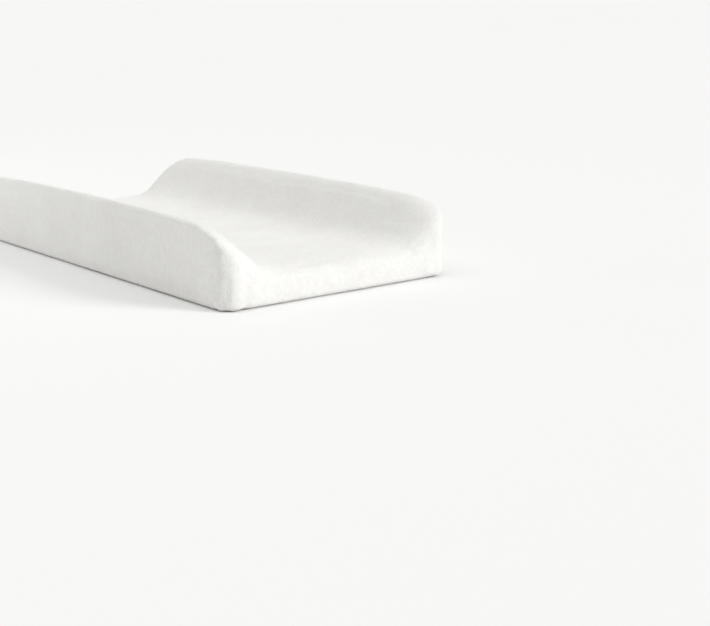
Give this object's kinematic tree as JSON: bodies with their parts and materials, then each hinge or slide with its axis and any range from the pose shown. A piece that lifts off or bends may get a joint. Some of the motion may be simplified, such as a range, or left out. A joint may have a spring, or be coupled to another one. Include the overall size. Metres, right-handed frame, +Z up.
{
  "type": "changing pad",
  "caption": "Contoured baby changing pad: foam base and side bolsters in a zipped liner with a stowed safety belt, under a fitted plush cover with an elastic hem.",
  "frame": {"origin": "centre of the underside, on the surface that the pad lies on", "axes": "+X along the pad, +Y across it towards the far side, +Z up"},
  "size_m": [0.813, 0.406, 0.1213],
  "materials": {
    "plush": "short-pile plush, matte",
    "hem_binding": "knitted binding, gathered",
    "elastic": "ribbed elastic",
    "vinyl": "coated fabric, satin, wipe-clean",
    "non_slip": "woven fabric with raised grip dots",
    "foam": "open-cell foam, matte",
    "webbing": "woven webbing",
    "buckle": "moulded, satin",
    "zip_tape": "woven tape",
    "zip_teeth": "moulded, satin",
    "nickel": "nickel-plated, satin",
    "label": "blank satin ribbon"
  },
  "bodies": {
    "pad": {"foam_base": "foam", "foam_bolster_near": "foam", "foam_bolster_far": "foam", "liner_shell": "vinyl", "liner_base": "non_slip", "care_label": "label", "anchor_snap_socket_left": "nickel", "anchor_snap_socket_right": "nickel", "anchor_snap_cap_left": "nickel", "anchor_snap_cap_right": "nickel", "zip_teeth_left": "zip_teeth", "zip_teeth_right": "zip_teeth", "zip_tape_left": "zip_tape", "zip_tape_right": "zip_tape", "zip_stop_closed": "nickel", "zip_stop_open": "nickel", "belt_strap_near": "webbing", "belt_strap_far": "webbing", "belt_patch_near": "webbing", "belt_patch_far": "webbing", "buckle_socket": "buckle", "plush_cover": "plush", "cover_hem": "hem_binding", "hem_elastic": "elastic"},
    "zip_slider": {"zip_slider": "nickel"},
    "zip_pull": {"zip_pull": "nickel"},
    "buckle_plug": {"buckle_plug": "buckle"}
  },
  "joints": [
    {"name": "zip_run", "type": "slide", "parent": "pad", "child": "zip_slider", "axis": [0, 1, 0], "range_m": [0, 0.208]},
    {"name": "zip_pull_swing", "type": "hinge", "parent": "zip_slider", "child": "zip_pull", "pos_m": [-0.27, -0.1045, 0.0035], "axis": [-1, 0, 0], "range_deg": [0, 110]},
    {"name": "buckle_release", "type": "slide", "parent": "pad", "child": "buckle_plug", "axis": [0, 1, 0], "range_m": [0, 0.026], "deforming": ["belt_strap_far"]}
  ]
}
